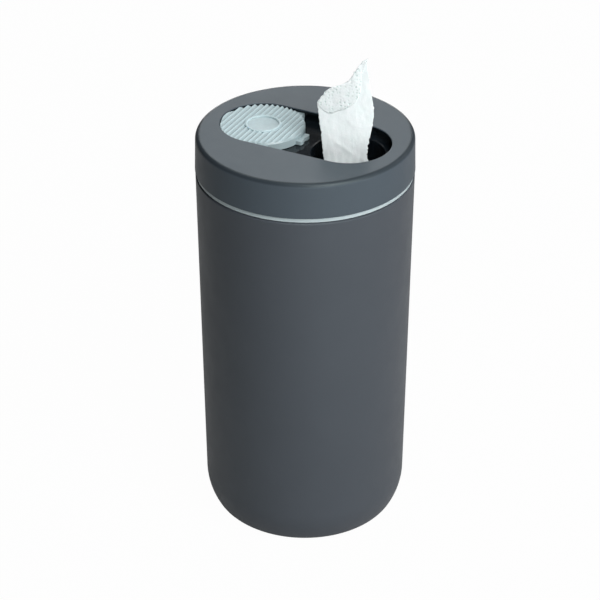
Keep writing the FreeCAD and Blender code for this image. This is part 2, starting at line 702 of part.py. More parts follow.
def make_slide_cap():
    """The ribbed cap, about its own axis: ribs, finger ring, guide wings and front tab."""
    body = new_body("slide_cap")
    disc = new_sketch(body, "CapDisc", level=cap_under)
    circle(disc, ZERO, ZERO, cap_radius)
    pad(body, "CapBlock", disc, crest_level - cap_under)

    wing_top = plate_under - sizes.wing_gap
    wings = new_sketch(body, "CapWings", level=wing_top)
    half = sizes.wing_length / 2
    polygon(
        wings,
        ((-half, -wing_reach), (half, -wing_reach), (half, wing_reach), (-half, wing_reach)),
    )
    pad(body, "Wings", wings, sizes.wing_height, down=True)

    tab = new_sketch(body, "CapTab", level=cap_under)
    tab_tip = cap_radius + sizes.tab_reach
    side = sizes.tab_width / 2
    polygon(tab, ((ZERO, -side), (tab_tip, -side), (tab_tip, side), (ZERO, side)))
    plain_tab = pad(body, "Tab", tab, sizes.tab_height)
    round_edges(
        body,
        "TabCorners",
        plain_tab,
        lambda edge: abs(edge.BoundBox.XMin - tab_tip.value) < NEAR
        and edge.BoundBox.YLength < NEAR,
        sizes.tab_corner,
    )
    hollow = new_sketch(body, "TabNotch", level=cap_under)
    circle(hollow, tab_tip + sizes.tab_notch - sizes.tab_notch_depth, ZERO, sizes.tab_notch)
    pocket(body, "TabHollow", hollow, sizes.tab_height, up=True)

    crest_half = (sizes.rib_pitch - sizes.rib_crest) / 2
    count = 2 * int(cap_radius.value / sizes.rib_pitch.value + 0.5)
    first = -(sizes.rib_pitch * ((count - 1) / 2))
    valley = new_sketch(body, "CapValley", "XZ_Plane")
    polygon(
        valley,
        (
            (first - crest_half, crest_level),
            (first, valley_level),
            (first + crest_half, crest_level),
        ),
    )
    cut = pocket(body, "Valley", valley, cap_radius * 2, both_ways=True)
    valleys = body.newObject("PartDesign::LinearPattern", "Valleys")
    valleys.Originals = [cut]
    valleys.Direction = (valley, ["H_Axis"])
    valleys.Occurrences = count
    span = sizes.rib_pitch * (count - 1)
    valleys.Length = span.value
    valleys.setExpression("Length", span.formula)
    body.Tip = valleys
    must_remove(body, valleys)

    ring = new_sketch(body, "FingerRing", "XZ_Plane")
    bead_top = crest_level + sizes.ring_rise
    bead_inner = sizes.ring_radius - sizes.ring_width
    bead_middle = sizes.ring_radius - sizes.ring_width / 2
    bead_quarter = sizes.ring_width / 4
    dish_level = crest_level - sizes.dish_edge
    polygon(
        ring,
        (
            (ZERO, cap_ceiling),
            (sizes.ring_radius, cap_ceiling),
            (sizes.ring_radius, bead_top - bead_quarter),
            (bead_middle + bead_quarter, bead_top),
            (bead_middle - bead_quarter, bead_top),
            (bead_inner, bead_top - bead_quarter),
            (bead_inner, dish_level),
            (ZERO, dish_level - sizes.dish_depth),
        ),
    )
    revolve(body, "FingerRingSolid", ring)
    dish = new_sketch(body, "FingerDish", "XZ_Plane")
    polygon(
        dish,
        (
            (ZERO, dish_level - sizes.dish_depth),
            (bead_inner, dish_level),
            (bead_inner, bead_top),
            (ZERO, bead_top),
        ),
    )
    groove(body, "FingerDishCut", dish)

    flank = new_sketch(body, "CapFlank", "XZ_Plane")
    over = crest_level + sizes.ring_rise
    past = cap_radius + sizes.cap_gap
    polygon(
        flank,
        (
            (cap_radius - sizes.flank_width, crest_level),
            (cap_radius - sizes.flank_width / 3, crest_level - sizes.flank_depth / 3),
            (cap_radius, crest_level - sizes.flank_depth),
            (past, crest_level - sizes.flank_depth),
            (past, over),
            (cap_radius - sizes.flank_width, over),
        ),
    )
    groove(body, "CapFlankCut", flank, FLANK_SWEEP)

    under = new_sketch(body, "CapHollow", level=cap_under)
    circle(under, ZERO, ZERO, cap_hollow)
    pocket(body, "CapHollowCut", under, cap_ceiling - cap_under, up=True)
    seat = new_sketch(body, "CapSealSeat", level=cap_under)
    seal_middle = cap_radius - sizes.cap_rim / 2
    circle(seat, ZERO, ZERO, seal_middle + sizes.cap_seal_width / 2)
    circle(seat, ZERO, ZERO, seal_middle - sizes.cap_seal_width / 2)
    seat_depth = sizes.cap_seal_height - (sizes.cap_lift - sizes.cap_seal_gap)
    pocket(body, "CapSealSeatCut", seat, seat_depth, up=True)
    place(body, -slot_reach, ZERO, ZERO)
    return body


def make_cap_seal():
    """The soft ring in the cap's lower rim, which closes round the outlet."""
    body = new_body("cap_seal")
    ring = new_sketch(body, "CapSealOutline", level=floor_top + sizes.cap_seal_gap)
    seal_middle = cap_radius - sizes.cap_rim / 2
    circle(ring, ZERO, ZERO, seal_middle + sizes.cap_seal_width / 2)
    circle(ring, ZERO, ZERO, seal_middle - sizes.cap_seal_width / 2)
    pad(body, "CapSealRing", ring, sizes.cap_seal_height)
    place(body, -slot_reach, ZERO, ZERO)
    return body


def make_wipe_gripper():
    """The soft star disc under the outlet tube, about its own axis."""
    body = new_body("wipe_gripper")
    disc = new_sketch(body, "GripperDisc")
    circle(disc, ZERO, ZERO, throat_radius)
    pad(body, "Gripper", disc, sizes.gripper_thickness)
    mouth = new_sketch(body, "GripperMouth")
    mouth_radius = sizes.gripper_mouth_width / 2
    stadium(mouth, sizes.gripper_mouth_length / 2 - mouth_radius, mouth_radius)
    pocket(body, "GripperMouthCut", mouth, sizes.gripper_thickness, up=True)
    slit = new_sketch(body, "GripperSlit")
    half = sizes.gripper_slit_length / 2
    side = sizes.gripper_slit / 2
    polygon(slit, ((-half, -side), (half, -side), (half, side), (-half, side)))
    cut = pocket(body, "Slit", slit, sizes.gripper_thickness, up=True)
    count = int(sizes.gripper_slit_count.value)
    slits = body.newObject("PartDesign::PolarPattern", "Slits")
    slits.Originals = [cut]
    slits.Axis = (slit, ["N_Axis"])
    slits.Angle = 180 * (count - 1) / count
    slits.Occurrences = count
    body.Tip = slits
    must_remove(body, slits)
    place(body, slot_reach, ZERO, gripper_under, sizes.wipe_angle)
    return body


def make_gripper_retainer():
    """The ring that clips round the outlet tube and holds the star disc."""
    body = new_body("gripper_retainer")
    section = new_sketch(body, "RetainerSection", "XZ_Plane")
    inner = throat_radius + sizes.retainer_gap
    outer = inner + sizes.retainer_wall
    reach = throat_radius - sizes.retainer_ledge
    top = gripper_under + sizes.retainer_height
    polygon(
        section,
        (
            (reach, retainer_under),
            (outer, retainer_under),
            (outer, top),
            (inner, top),
            (inner, gripper_under),
            (reach, gripper_under),
        ),
    )
    revolve(body, "RetainerRing", section)
    place(body, slot_reach, ZERO, ZERO)
    return body


def make_deck_screws():
    """Four pan-head screws that hold the deck to the lid's bosses, as one group."""
    screws = []
    for index, (side_x, side_y) in enumerate(((1, 1), (-1, 1), (1, -1), (-1, -1))):
        x = sizes.boss_x * side_x
        y = sizes.boss_y * side_y
        shank = doc.addObject("Part::Cylinder", f"ScrewShank{index}")
        bind(shank, "Radius", sizes.screw_radius)
        bind(shank, "Height", sizes.screw_length)
        place(shank, x, y, floor_under)
        head = doc.addObject("Part::Cylinder", f"ScrewHead{index}")
        bind(head, "Radius", sizes.screw_head_radius)
        bind(head, "Height", sizes.screw_head_height)
        place(head, x, y, floor_under - sizes.screw_head_height)
        drive = doc.addObject("Part::Prism", f"ScrewDrive{index}")
        drive.Polygon = 6
        bind(drive, "Circumradius", sizes.screw_recess)
        bind(drive, "Height", sizes.screw_head_height / 2)
        place(drive, x, y, floor_under - sizes.screw_head_height)
        blank = doc.addObject("Part::Fuse", f"ScrewBlank{index}")
        blank.Base = shank
        blank.Tool = head
        screw = doc.addObject("Part::Cut", f"Screw{index}")
        screw.Base = blank
        screw.Tool = drive
        screws.append(screw)
    group = doc.addObject("Part::Compound", "deck_screws")
    group.Links = screws
    group.Label = "deck_screws"
    return group


def bind(feature, name, size):
    """Sets a property of a primitive and ties it to the sheet."""
    setattr(feature, name, size.value)
    feature.setExpression(name, size.formula)


def place(feature, x, y, z, turn=None):
    """Moves a sub-part to its place, and turns it about its upright axis."""
    rotation = FreeCAD.Rotation(vector_up(), turn.value if turn else 0)
    feature.Placement = FreeCAD.Placement(FreeCAD.Vector(x.value, y.value, z.value), rotation)
    for letter, size in (("x", x), ("y", y), ("z", z)):
        feature.setExpression(f"Placement.Base.{letter}", size.formula)
    if turn:
        feature.setExpression("Placement.Rotation.Angle", turn.formula)


def make_wipes_roll():
    """The roll of wet tissues, pulled from its hollow middle."""
    body = new_body("wipes_roll")
    liner_foot = shell_foot_radius - liner_offset - sizes.liner_wall
    roll_radius = liner_foot - sizes.roll_clearance
    section = new_sketch(body, "RollSection", "XZ_Plane")
    polygon(
        section,
        (
            (sizes.roll_core, liner_floor),
            (roll_radius - sizes.roll_edge, liner_floor),
            (roll_radius, liner_floor + sizes.roll_edge),
            (roll_radius, roll_top - sizes.roll_edge),
            (roll_radius - sizes.roll_edge, roll_top),
            (sizes.roll_core, roll_top),
        ),
    )
    revolve(body, "RollTurned", section)
    return body


def ribbon_section(level, left, crease, right, crease_back, bulge, thickness):
    """One level of the standing tissue: two shallow arcs that meet at a crease.

    left, crease and right are places along the tissue's width; the crease lies back from
    the edges, and bulge is how far each panel swells towards the front.
    """
    def panel(back):
        edge_l = FreeCAD.Vector(left, -back, level)
        edge_c = FreeCAD.Vector(crease, crease_back - back, level)
        edge_r = FreeCAD.Vector(right, -back, level)
        swell_l = (edge_l + edge_c) / 2 - FreeCAD.Vector(0, bulge, 0)
        swell_r = (edge_c + edge_r) / 2 - FreeCAD.Vector(0, bulge, 0)
        return edge_l, swell_l, edge_c, swell_r, edge_r

    front = panel(thickness / 2)
    rear = panel(-thickness / 2)
    edges = [
        Part.Arc(front[0], front[1], front[2]).toShape(),
        Part.Arc(front[2], front[3], front[4]).toShape(),
        Part.LineSegment(front[4], rear[4]).toShape(),
        Part.Arc(rear[4], rear[3], rear[2]).toShape(),
        Part.Arc(rear[2], rear[1], rear[0]).toShape(),
        Part.LineSegment(rear[0], front[0]).toShape(),
    ]
    return Part.Wire(edges)


# The standing tissue, level by level from below the lid to its tip: share of the rise above
# the lid's top, then, as shares of its width, the left edge, crease and right edge, how far
# the crease lies back, and the swell.
WIPE_LEVELS = (
    (-0.20, -0.384, -0.072, 0.341, 0.087, 0.029),
    (0.04, -0.453, -0.163, 0.373, 0.101, 0.033),
    (0.23, -0.496, -0.217, 0.453, 0.087, 0.036),
    (0.43, -0.551, -0.181, 0.449, 0.065, 0.033),
    (0.56, -0.457, -0.091, 0.424, 0.058, 0.025),
    (0.68, -0.188, 0.054, 0.399, 0.051, 0.018),
    (0.80, 0.091, 0.210, 0.377, 0.036, 0.011),
    (0.92, 0.239, 0.290, 0.359, 0.022, 0.007),
    (1.00, 0.322, 0.337, 0.355, 0.007, 0.004),
)


def make_wipe_sheet():
    """The tissue that stands out of the outlet, gathered by the gripper below."""
    thickness = sizes.wipe_thickness.value
    mouth = (sizes.gripper_mouth_length / 2 - sizes.wipe_slack * 2).value
    crease_back = (sizes.gripper_mouth_width / 2 - sizes.wipe_slack * 2).value
    swell = crease_back / 2
    wires = [
        ribbon_section(level.value, -mouth, 0, mouth, crease_back, swell, thickness)
        for level in (retainer_under, throat_end)
    ]
    for share, *across in WIPE_LEVELS:
        level = lid_top + sizes.wipe_height * share
        width = [sizes.wipe_width.value * part for part in across]
        wires.append(ribbon_section(level.value, *width, thickness))
    sheet = doc.addObject("Part::Feature", "wipe_sheet")
    sheet.Label = "wipe_sheet"
    sheet.Shape = Part.makeLoft(wires, True, False)
    place(sheet, slot_reach, ZERO, ZERO, sizes.wipe_angle)
    return sheet


OVAL_END = 0.9  # how far an oval's end bulges, where 1 is a half circle


def oval_wire(x, level, length, width):
    """A flat oval of two half circles and two lines, centred over the slot's line."""
    side = width / 2
    reach = length / 2 - side
    tip = side * OVAL_END
    points = (
        (x - reach, -side), (x + reach, -side), (x + reach + tip, 0), (x + reach, side),
        (x - reach, side), (x - reach - tip, 0),
    )
    a, b, c, d, e, f = (FreeCAD.Vector(px, py, level) for px, py in points)
    edges = [
        Part.LineSegment(a, b).toShape(),
        Part.Arc(b, c, d).toShape(),
        Part.LineSegment(d, e).toShape(),
        Part.Arc(e, f, a).toShape(),
    ]
    return Part.Wire(edges)


# The tissue between the roll and the gripper. In the roll's hollow and above it: share of that
# climb, share of the way out from the axis to the outlet, and share of the change from the
# loose bunch to the flat fold in the gripper's mouth.
TAIL_IN_ROLL = ((0.00, 0.00, 0.00), (0.40, 0.00, 0.08), (0.75, 0.00, 0.20))
TAIL_ABOVE = (
    (0.00, 0.03, 0.34),
    (0.22, 0.14, 0.56),
    (0.42, 0.34, 0.74),
    (0.60, 0.60, 0.87),
    (0.76, 0.84, 0.95),
    (0.89, 0.97, 0.99),
    (1.00, 1.00, 1.00),
)


def make_wipe_tail():
    """The tissue on its way up, from the roll's hollow to the gripper."""
    fold_length = sizes.gripper_mouth_length - sizes.wipe_slack * 4
    fold_width = sizes.gripper_mouth_width - sizes.wipe_slack * 2
    wires = []
    for low, high, stations in (
        (roll_top - sizes.tail_depth, roll_top, TAIL_IN_ROLL),
        (roll_top, retainer_under, TAIL_ABOVE),
    ):
        for rise, way_out, folded in stations:
            length = sizes.tail_length + (fold_length - sizes.tail_length) * folded
            width = sizes.tail_width + (fold_width - sizes.tail_width) * folded
            level = low + (high - low) * rise
            out = slot_reach * way_out
            wires.append(oval_wire(out.value, level.value, length.value, width.value))
    tail = doc.addObject("Part::Feature", "wipe_tail")
    tail.Label = "wipe_tail"
    tail.Shape = Part.makeLoft(wires, True, True)
    return tail


sub_parts = [
    make_outer_shell(),
    make_base_pad(),
    make_inner_liner(),
    make_lid_seal(),
    make_lid_shell(),
    make_lid_deck(),
    make_slide_cap(),
    make_cap_seal(),
    make_wipe_gripper(),
    make_gripper_retainer(),
    make_deck_screws(),
    make_wipes_roll(),
    make_wipe_tail(),
    make_wipe_sheet(),
]

doc.recompute()

for item in doc.Objects:
    if "Invalid" in item.State or "Error" in item.State:
        raise ValueError(f"{item.Label} did not compute: {item.State}")
for part in sub_parts:
    if part.Shape.isNull() or not part.Shape.isValid():
        raise ValueError(f"{part.Label} has no valid shape")
for part in sub_parts:
    part.Shape.exportStep(f"parts/{part.Label}.step")
    box = part.Shape.BoundBox
    print(
        f"{part.Label}: {len(part.Shape.Solids)} solid, {part.Shape.Volume:.0f} mm3, "
        f"z {box.ZMin:.2f} to {box.ZMax:.2f}"
    )
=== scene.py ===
import math

import bpy
from mathutils import Matrix, Vector, noise


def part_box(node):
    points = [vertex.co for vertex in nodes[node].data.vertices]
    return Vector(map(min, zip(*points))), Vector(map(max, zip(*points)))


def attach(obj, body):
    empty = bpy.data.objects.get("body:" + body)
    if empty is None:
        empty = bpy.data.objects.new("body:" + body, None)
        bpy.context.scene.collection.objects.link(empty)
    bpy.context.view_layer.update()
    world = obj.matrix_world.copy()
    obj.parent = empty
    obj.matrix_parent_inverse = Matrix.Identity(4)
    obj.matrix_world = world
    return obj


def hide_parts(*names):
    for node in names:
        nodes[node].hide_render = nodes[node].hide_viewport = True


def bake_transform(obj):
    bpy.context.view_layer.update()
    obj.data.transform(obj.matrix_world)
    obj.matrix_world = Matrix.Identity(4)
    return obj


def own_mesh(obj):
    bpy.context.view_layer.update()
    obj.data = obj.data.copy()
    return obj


# The looks of a tabletop dispenser for wet tissues, in metres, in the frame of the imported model.
# +X runs along the lid's slot from the parked cap to the outlet, and +Z is up.

MM = 0.001

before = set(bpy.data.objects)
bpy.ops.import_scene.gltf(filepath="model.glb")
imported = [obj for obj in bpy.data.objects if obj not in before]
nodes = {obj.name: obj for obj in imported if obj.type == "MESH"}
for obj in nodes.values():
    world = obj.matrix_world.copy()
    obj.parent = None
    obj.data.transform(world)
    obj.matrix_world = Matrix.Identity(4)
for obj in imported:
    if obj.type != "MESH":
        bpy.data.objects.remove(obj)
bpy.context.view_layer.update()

lid_low, lid_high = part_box("lid_shell")
deck_low, deck_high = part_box("lid_deck")
gripper_low, gripper_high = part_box("wipe_gripper")
retainer_low, retainer_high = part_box("gripper_retainer")
roll_low, roll_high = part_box("wipes_roll")
strand_low, strand_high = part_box("wipe_tail")
sheet_low, sheet_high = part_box("wipe_sheet")

LID_TOP = lid_high.z
CAP_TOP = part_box("slide_cap")[1].z
OUTLET_X = (gripper_low.x + gripper_high.x) / 2
TISSUE_TIP = 46.6 * MM
# the level that the standing tissue's heights are counted from, by the tip of its solid
OUTLET = Vector((OUTLET_X, 0, sheet_high.z - TISSUE_TIP))


# Camera: the photograph's view, from the front right and above.

CAMERA_PLACE = Vector((0.48767, -0.96574, 0.77653))
CAMERA_AIM = Vector((0.0, -0.0058, 0.1256))
CAMERA_LENS = 144.06


def add_camera():
    data = bpy.data.cameras.new("camera")
    data.lens = CAMERA_LENS
    data.sensor_width = 36
    data.clip_start = 0.1
    data.clip_end = 50
    camera = bpy.data.objects.new("camera", data)
    bpy.context.scene.collection.objects.link(camera)
    camera.location = CAMERA_PLACE
    camera.rotation_mode = "QUATERNION"
    camera.rotation_quaternion = (CAMERA_AIM - CAMERA_PLACE).to_track_quat("-Z", "Y")
    bpy.context.scene.camera = camera


# Materials. Every texture is placed by object coordinates, which are metres of the model.

class Shader:
    """A material with one Principled shader, and short calls to build what drives it."""

    def __init__(self, name, **settings):
        self.material = bpy.data.materials.new(name)
        self.material.use_nodes = True
        self.tree = self.material.node_tree
        self.surface = self.tree.nodes["Principled BSDF"]
        self.output = self.tree.nodes["Material Output"]
        self.places = self.tree.nodes.new("ShaderNodeTexCoord").outputs["Object"]
        for socket, value in settings.items():
            self.surface.inputs[socket.replace("_", " ")].default_value = value

    def node(self, kind, inputs=None, **settings):
        made = self.tree.nodes.new(kind)
        for name, value in settings.items():
            setattr(made, name, value)
        for socket, value in (inputs or {}).items():
            if isinstance(value, bpy.types.NodeSocket):
                self.tree.links.new(value, made.inputs[socket])
            else:
                made.inputs[socket].default_value = value
        return made

    def noise(self, size, detail=2.0, stretch=(1, 1, 1)):
        """Noise whose cells are about this size in metres, from 0 to 1."""
        placed = self.node("ShaderNodeMapping", {"Vector": self.places, "Scale": stretch})
        return self.node(
            "ShaderNodeTexNoise",
            {"Vector": placed.outputs["Vector"], "Scale": 1 / size, "Detail": detail},
        ).outputs["Fac"]

    def spread(self, value, low, high, start=0.3, end=0.7):
        """A value from start to end, spread over low to high."""
        return self.node(
            "ShaderNodeMapRange",
            {"Value": value, "From Min": start, "From Max": end, "To Min": low, "To Max": high},
        ).outputs["Result"]

    def math(self, operation, a, b):
        return self.node("ShaderNodeMath", {0: a, 1: b}, operation=operation).outputs[0]

    def colour(self, socket):
        self.tree.links.new(socket, self.surface.inputs["Base Color"])

    def roughness(self, socket):
        self.tree.links.new(socket, self.surface.inputs["Roughness"])

    def relief(self, height, depth, strength=1.0):
        """A bump of this depth in metres, where the height runs from 0 to 1."""
        bump = self.node(
            "ShaderNodeBump", {"Height": height, "Distance": depth, "Strength": strength}
        )
        self.tree.links.new(bump.outputs["Normal"], self.surface.inputs["Normal"])


def colour_mix(shader, share, a, b):
    """Colour sockets of the Mix node share names with its value sockets, so they go by type."""
    mix = shader.tree.nodes.new("ShaderNodeMix")
    mix.data_type = "RGBA"
    factor = mix.inputs[0]
    first, second = [s for s in mix.inputs if s.type == "RGBA"]
    shader.tree.links.new(share, factor)
    for socket, value in ((first, a), (second, b)):
        if isinstance(value, bpy.types.NodeSocket):
            shader.tree.links.new(value, socket)
        else:
            socket.default_value = (*value, 1)
    return next(s for s in mix.outputs if s.type == "RGBA")


def tinted(colour, factor):
    return tuple(part * factor for part in colour)


def moulded_plastic(
    name, colour, rough, grain_size, grain_depth, darker=None, shade=None, **settings
):
    """A moulded surface: faint clouding in its colour, spark-eroded grain and uneven sheen.

    Where darker is given, it returns how black and how glossy each place is, from 0 to 1, and
    shade returns how much painted shade each place gets, darkening the colour's own tone, from 0
    to 1.
    """
    shader = Shader(name, **settings)
    cloud = shader.noise(0.035, 3.0)
    speck = shader.noise(0.0006, 1.0)
    clouded = colour_mix(
        shader, shader.spread(cloud, 0, 1), tinted(colour, 0.965), tinted(colour, 1.035)
    )
    specked = colour_mix(shader, shader.spread(speck, 0, 0.5), clouded, tinted(colour, 1.06))
    sheen = shader.spread(shader.noise(0.012, 4.0), rough - 0.035, rough + 0.035)
    # Painted shade: the colour is darkened where shade asks for it.
    if shade:
        specked = colour_mix(shader, shade(shader), specked, tinted(colour, PAINTED_SHADE_TONE))
    if darker:
        # On the lid, darker also paints shade on the rim's rounding, as part of its black.
        black, gloss = darker(shader)
        specked = colour_mix(shader, black, specked, DECK_BLACK)
        sheen = shader.math("SUBTRACT", sheen, shader.math("MULTIPLY", gloss, 0.25))
    shader.colour(specked)
    shader.roughness(sheen)
    grain = shader.noise(grain_size, 2.0)
    sink = shader.noise(0.02, 1.0)
    height = shader.math("ADD", grain, shader.math("MULTIPLY", sink, 0.4))
    shader.relief(height, grain_depth)
    return shader.material


SHELL_GREY = (0.058, 0.066, 0.079)
# The lid's grey is the shell's grey made greener and bluer, as painted cool light on the lid.
LID_PAINTED_COOL_GREY = (0.058, 0.074, 0.091)
SHEEN_TINT = (0.84, 1.0, 0.99, 1)
LINER_PALE = (0.42, 0.50, 0.52)
CAP_PALE = (0.485, 0.61, 0.64)
DECK_BLACK = (0.006, 0.009, 0.012)


def soft_touch(name, colour, darker=None):
    return moulded_plastic(
        name,
        colour,
        0.42,
        0.00045,
        0.00003,
        darker,
        Specular_IOR_Level=0.36,
        Specular_Tint=SHEEN_TINT,
    )


LINING_DROP = 0.5 * MM
LINING_REACH = 50 * MM
# How far out the lid's rim starts to get painted shade, how far below the top it reaches, how soft
# its edges are, and how much of the black it gets.
RIM_SHADE_START = 52.9 * MM
RIM_SHADE_DROP = 1.9 * MM
RIM_SHADE_SOFT = 0.9 * MM
RIM_SHADE_SHARE = 0.6


def lid_lining_and_rim_shade(shader):
    """The lid's slot is lined with black gloss, and the rounding of its rim is darkened towards
    that black as painted shade.
    """
    place = shader.node("ShaderNodeSeparateXYZ", {"Vector": shader.places}).outputs
    out = shader.math("MULTIPLY", place["X"], place["X"])
    out = shader.math("ADD", out, shader.math("MULTIPLY", place["Y"], place["Y"]))
    out = shader.math("SQRT", out, 0)
    below = shader.math("LESS_THAN", place["Z"], LID_TOP - LINING_DROP)
    lining = shader.math("MULTIPLY", below, shader.math("LESS_THAN", out, LINING_REACH))
    # Painted shade on the rounding of the rim: outward of the rim's start and near the top.
    outward = shader.spread(out, 0, RIM_SHADE_SHARE, RIM_SHADE_START, RIM_SHADE_START + RIM_SHADE_SOFT)
    upward = shader.spread(
        place["Z"], 0, 1, LID_TOP - RIM_SHADE_DROP, LID_TOP - RIM_SHADE_DROP + RIM_SHADE_SOFT
    )
    black = shader.math("MAXIMUM", lining, shader.math("MULTIPLY", outward, upward))
    return black, lining


# Painted shade on the cap: the tone it darkens to, the depth of the grooves, the radii of the
# finger dish and the bead, the softness of their edges, and the dish's share of shade.
PAINTED_SHADE_TONE = 0.72
GROOVE_DEPTH = 0.9 * MM
DISH_RADIUS = 7.7 * MM
BEAD_RADIUS = 9.4 * MM
EDGE_SOFT = 0.35 * MM
DISH_SHADE_SHARE = 0.30


def cap_painted_shade(shader):
    """Painted shade: the grooves below the crests and the finger dish are darkened, mottled in the
    dish, and the bead between them is left unshaded, so it reads lighter than both.
    """
    place = shader.node("ShaderNodeSeparateXYZ", {"Vector": shader.places}).outputs
    across = shader.math("ADD", place["X"], OUTLET_X)
    out = shader.math("MULTIPLY", across, across)
    out = shader.math("ADD", out, shader.math("MULTIPLY", place["Y"], place["Y"]))
    out = shader.math("SQRT", out, 0)
    deep = shader.spread(place["Z"], 1, 0, CAP_TOP - GROOVE_DEPTH, CAP_TOP)
    beyond = shader.spread(out, 0, 1, BEAD_RADIUS, BEAD_RADIUS + EDGE_SOFT)
    grooves = shader.math("MULTIPLY", deep, beyond)
    mottle = shader.spread(shader.noise(0.0016, 3.0), 0.5 * DISH_SHADE_SHARE, 1.6 * DISH_SHADE_SHARE)
    within = shader.spread(out, 1, 0, DISH_RADIUS, DISH_RADIUS + EDGE_SOFT)
    return shader.math("MAXIMUM", grooves, shader.math("MULTIPLY", within, mottle))


def translucent_plastic(name, colour, rough, shade=None):
    return moulded_plastic(
        name,
        colour,
        rough,
        0.0008,
        0.00002,
        shade=shade,
        Subsurface_Weight=0.2,
        Subsurface_Radius=(0.8, 0.95, 1.0),
        Subsurface_Scale=0.0006,
        Specular_IOR_Level=0.5,
    )


def gloss_black():
    return moulded_plastic("deck_gloss", DECK_BLACK, 0.14, 0.004, 0.00003, IOR=1.5)


def soft_rubber(name, colour):
    return moulded_plastic(name, colour, 0.68, 0.0005, 0.00006, Specular_IOR_Level=0.3)


def turned_steel():
    """Zinc-plated steel with fine turning marks round each screw's axis."""
    shader = Shader("screw_steel", Metallic=1.0)
    marks = shader.noise(0.0002, 2.0, stretch=(1, 1, 6))
    shader.colour(
        colour_mix(shader, shader.spread(marks, 0, 1), (0.52, 0.53, 0.54), (0.66, 0.66, 0.68))
    )
    shader.roughness(shader.spread(shader.noise(0.0006), 0.22, 0.42))
    shader.relief(marks, 0.00001)
    return shader.material


TISSUE_WHITE = (0.87, 0.955, 0.965)
TISSUE_THIN = (0.80, 0.94, 0.925)
# The colour of the emboss pits is painted shade in them.
TISSUE_PIT_SHADE = (0.60, 0.76, 0.73)


# The turn that lays the standing tissue's plane on a texture's own X and Y.
TISSUE_TURN = Matrix(((0.9015, 0.4328, 0), (0, 0, 1), (0.4328, -0.9015, 0))).to_euler()
EMBOSS_PITCH = 1.9 * MM


def emboss_dots(shader):
    """Small pits in rows, from 0 between them to 1 in their middle, some of them faint."""
    laid = shader.node("ShaderNodeMapping", {"Vector": shader.places, "Rotation": TISSUE_TURN})
    cells = shader.node(
        "ShaderNodeTexVoronoi",
        {"Vector": laid.outputs["Vector"], "Scale": 1 / EMBOSS_PITCH, "Randomness": 0.6},
        voronoi_dimensions="2D",
    )
    pit = shader.spread(cells.outputs["Distance"], 1.0, 0.0, 0.06, 0.38)
    worn = shader.spread(shader.noise(0.0045, 2.0), 0.1, 1.0, 0.40, 0.60)
    return shader.math("MULTIPLY", pit, worn)


def nonwoven(name, emboss):
    """Wet nonwoven: matted fibres, thin spots that let the light through, and a dot emboss with
    painted shade in its pits.
    """
    shader = Shader(
        name,
        Roughness=0.72,
        Subsurface_Weight=0.35,
        Subsurface_Radius=(0.9, 1.0, 1.0),
        Subsurface_Scale=0.0007,
        Specular_IOR_Level=0.28,
    )
    fibres = shader.noise(0.0011, 6.0, stretch=(1.0, 1.0, 0.35))
    cross_fibres = shader.noise(0.0009, 6.0, stretch=(0.35, 1.0, 1.0))
    mat = shader.math("ADD", fibres, cross_fibres)
    clump = shader.noise(0.006, 3.0)
    thin = shader.spread(clump, 0.0, 0.55, 0.35, 0.75)
    colour = colour_mix(shader, thin, TISSUE_WHITE, TISSUE_THIN)
    height = shader.math("MULTIPLY", mat, 0.5)
    if emboss:
        dots = emboss_dots(shader)
        # Painted shade in the pits, as strong as the emboss share.
        colour = colour_mix(shader, shader.spread(dots, 0.0, emboss, 0, 1), colour, TISSUE_PIT_SHADE)
        height = shader.math("SUBTRACT", height, dots)
    shader.colour(colour)
    shader.relief(height, 0.00016)
    return shader.material


def dress(name, material):
    """Gives a carried-over solid its material, and smooth shading up to its real edges."""
    piece = nodes[name]
    piece.data.materials.clear()
    piece.data.materials.append(material)
    for face in piece.data.polygons:
        face.use_smooth = True
    weld = piece.modifiers.new("weld", "WELD")
    weld.merge_threshold = 0.000002
    split = piece.modifiers.new("edges", "EDGE_SPLIT")
    split.split_angle = math.radians(28)
    even = piece.modifiers.new("normals", "WEIGHTED_NORMAL")
    even.weight = 80
    even.keep_sharp = True


def dress_solids():
    dress("outer_shell", soft_touch("shell_soft_touch", SHELL_GREY))
    dress("lid_shell", soft_touch("lid_soft_touch", LID_PAINTED_COOL_GREY, lid_lining_and_rim_shade))
    dress("inner_liner", translucent_plastic("liner_translucent", LINER_PALE, 0.38))
    dress("slide_cap", translucent_plastic("cap_translucent", CAP_PALE, 0.34, cap_painted_shade))
    deck = gloss_black()
    dress("lid_deck", deck)
    dress("gripper_retainer", deck)
    dress("base_pad", soft_rubber("pad_rubber", (0.028, 0.030, 0.033)))
    dress("wipe_gripper", soft_rubber("gripper_rubber", (0.007, 0.008, 0.009)))
    seal = soft_rubber("seal_rubber", (0.34, 0.37, 0.38))
    dress("lid_seal", seal)
    dress("cap_seal", seal)
    dress("deck_screws", turned_steel())


# The tissues

def blend_rows(rows, share):
    """Values between rows of numbers, eased by a Catmull-Rom curve through them."""
    last = len(rows) - 1
    at = min(max(share, 0.0), 1.0) * last
    i = min(int(at), last - 1)
    t = at - i
    before, a, b, after = (rows[min(max(i + k, 0), last)] for k in (-1, 0, 1, 2))
    return [
        0.5 * (2 * q + (r - p) * t + (2 * p - 5 * q + 4 * r - s) * t**2
               + (3 * q - p - 3 * r + s) * t**3)
        for p, q, r, s in zip(before, a, b, after)
    ]


def mesh_piece(name, points, faces, material):
    mesh = bpy.data.meshes.new(name)
    mesh.from_pydata(points, [], faces)
    mesh.update()
    for face in mesh.polygons:
        face.use_smooth = True
    mesh.materials.append(material)
    piece = bpy.data.objects.new(name, mesh)
    bpy.context.scene.collection.objects.link(piece)
    return piece


def grid_faces(columns, rows, closed=False):
    """Quads of a grid of points that was filled row by row."""
    faces = []
    for j in range(rows - 1):
        for i in range(columns if closed else columns - 1):
            k = (i + 1) % columns
            faces.append((
                j * columns + i, j * columns + k, (j + 1) * columns + k, (j + 1) * columns + i
            ))
    return faces


